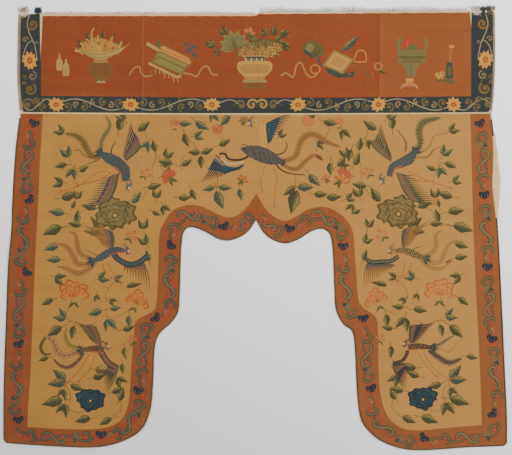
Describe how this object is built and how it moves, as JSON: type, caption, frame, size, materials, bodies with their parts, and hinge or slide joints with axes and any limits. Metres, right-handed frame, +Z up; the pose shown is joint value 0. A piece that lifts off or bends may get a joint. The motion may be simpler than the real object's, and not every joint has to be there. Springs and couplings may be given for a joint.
{
  "type": "altar cloth",
  "caption": "Lined silk tapestry altar frontal with a scalloped arch cut between two wide feet, a dark flowered heading band, a bird and flower field, a scroll border and frayed warp ends.",
  "frame": {"origin": "middle of the cloth's box, on the surface it lies on", "axes": "+X across the cloth to the viewer's right, +Y towards the heading, +Z up out of the face"},
  "size_m": [1.0492, 0.9259, 0.0054],
  "materials": {
    "lining": "plain-woven pale silk, faded, dull",
    "tapestry_upper": "tapestry-woven silk, red-orange ground with dark side bands, soft low sheen",
    "tapestry_lower": "tapestry-woven silk, tan-gold ground with orange border, soft low sheen",
    "seam_cord": "cream silk piping, dull",
    "edge_cord": "dark brown silk piping, dull",
    "binding": "beige-brown turned silk edge, dull",
    "loose_warp": "frayed undyed silk threads",
    "dark_silk": "matted dark teal silk threads",
    "brown_silk": "matted brown and green silk threads"
  },
  "bodies": {
    "root": {"lining": "lining", "upper_left": "tapestry_upper", "upper_right": "tapestry_upper", "lower_left": "tapestry_lower", "lower_right": "tapestry_lower", "seam_piping": "seam_cord", "edge_piping_left": "edge_cord", "edge_piping_right": "edge_cord", "edge_piping_right_top": "edge_cord", "side_binding_left": "binding", "side_binding_right": "binding", "fringe_left": "loose_warp", "fringe_right": "loose_warp", "scrap_left": "loose_warp", "scrap_right": "loose_warp", "tuft_left": "dark_silk", "tuft_right_green": "dark_silk", "tuft_right_brown": "brown_silk"}
  },
  "joints": []
}
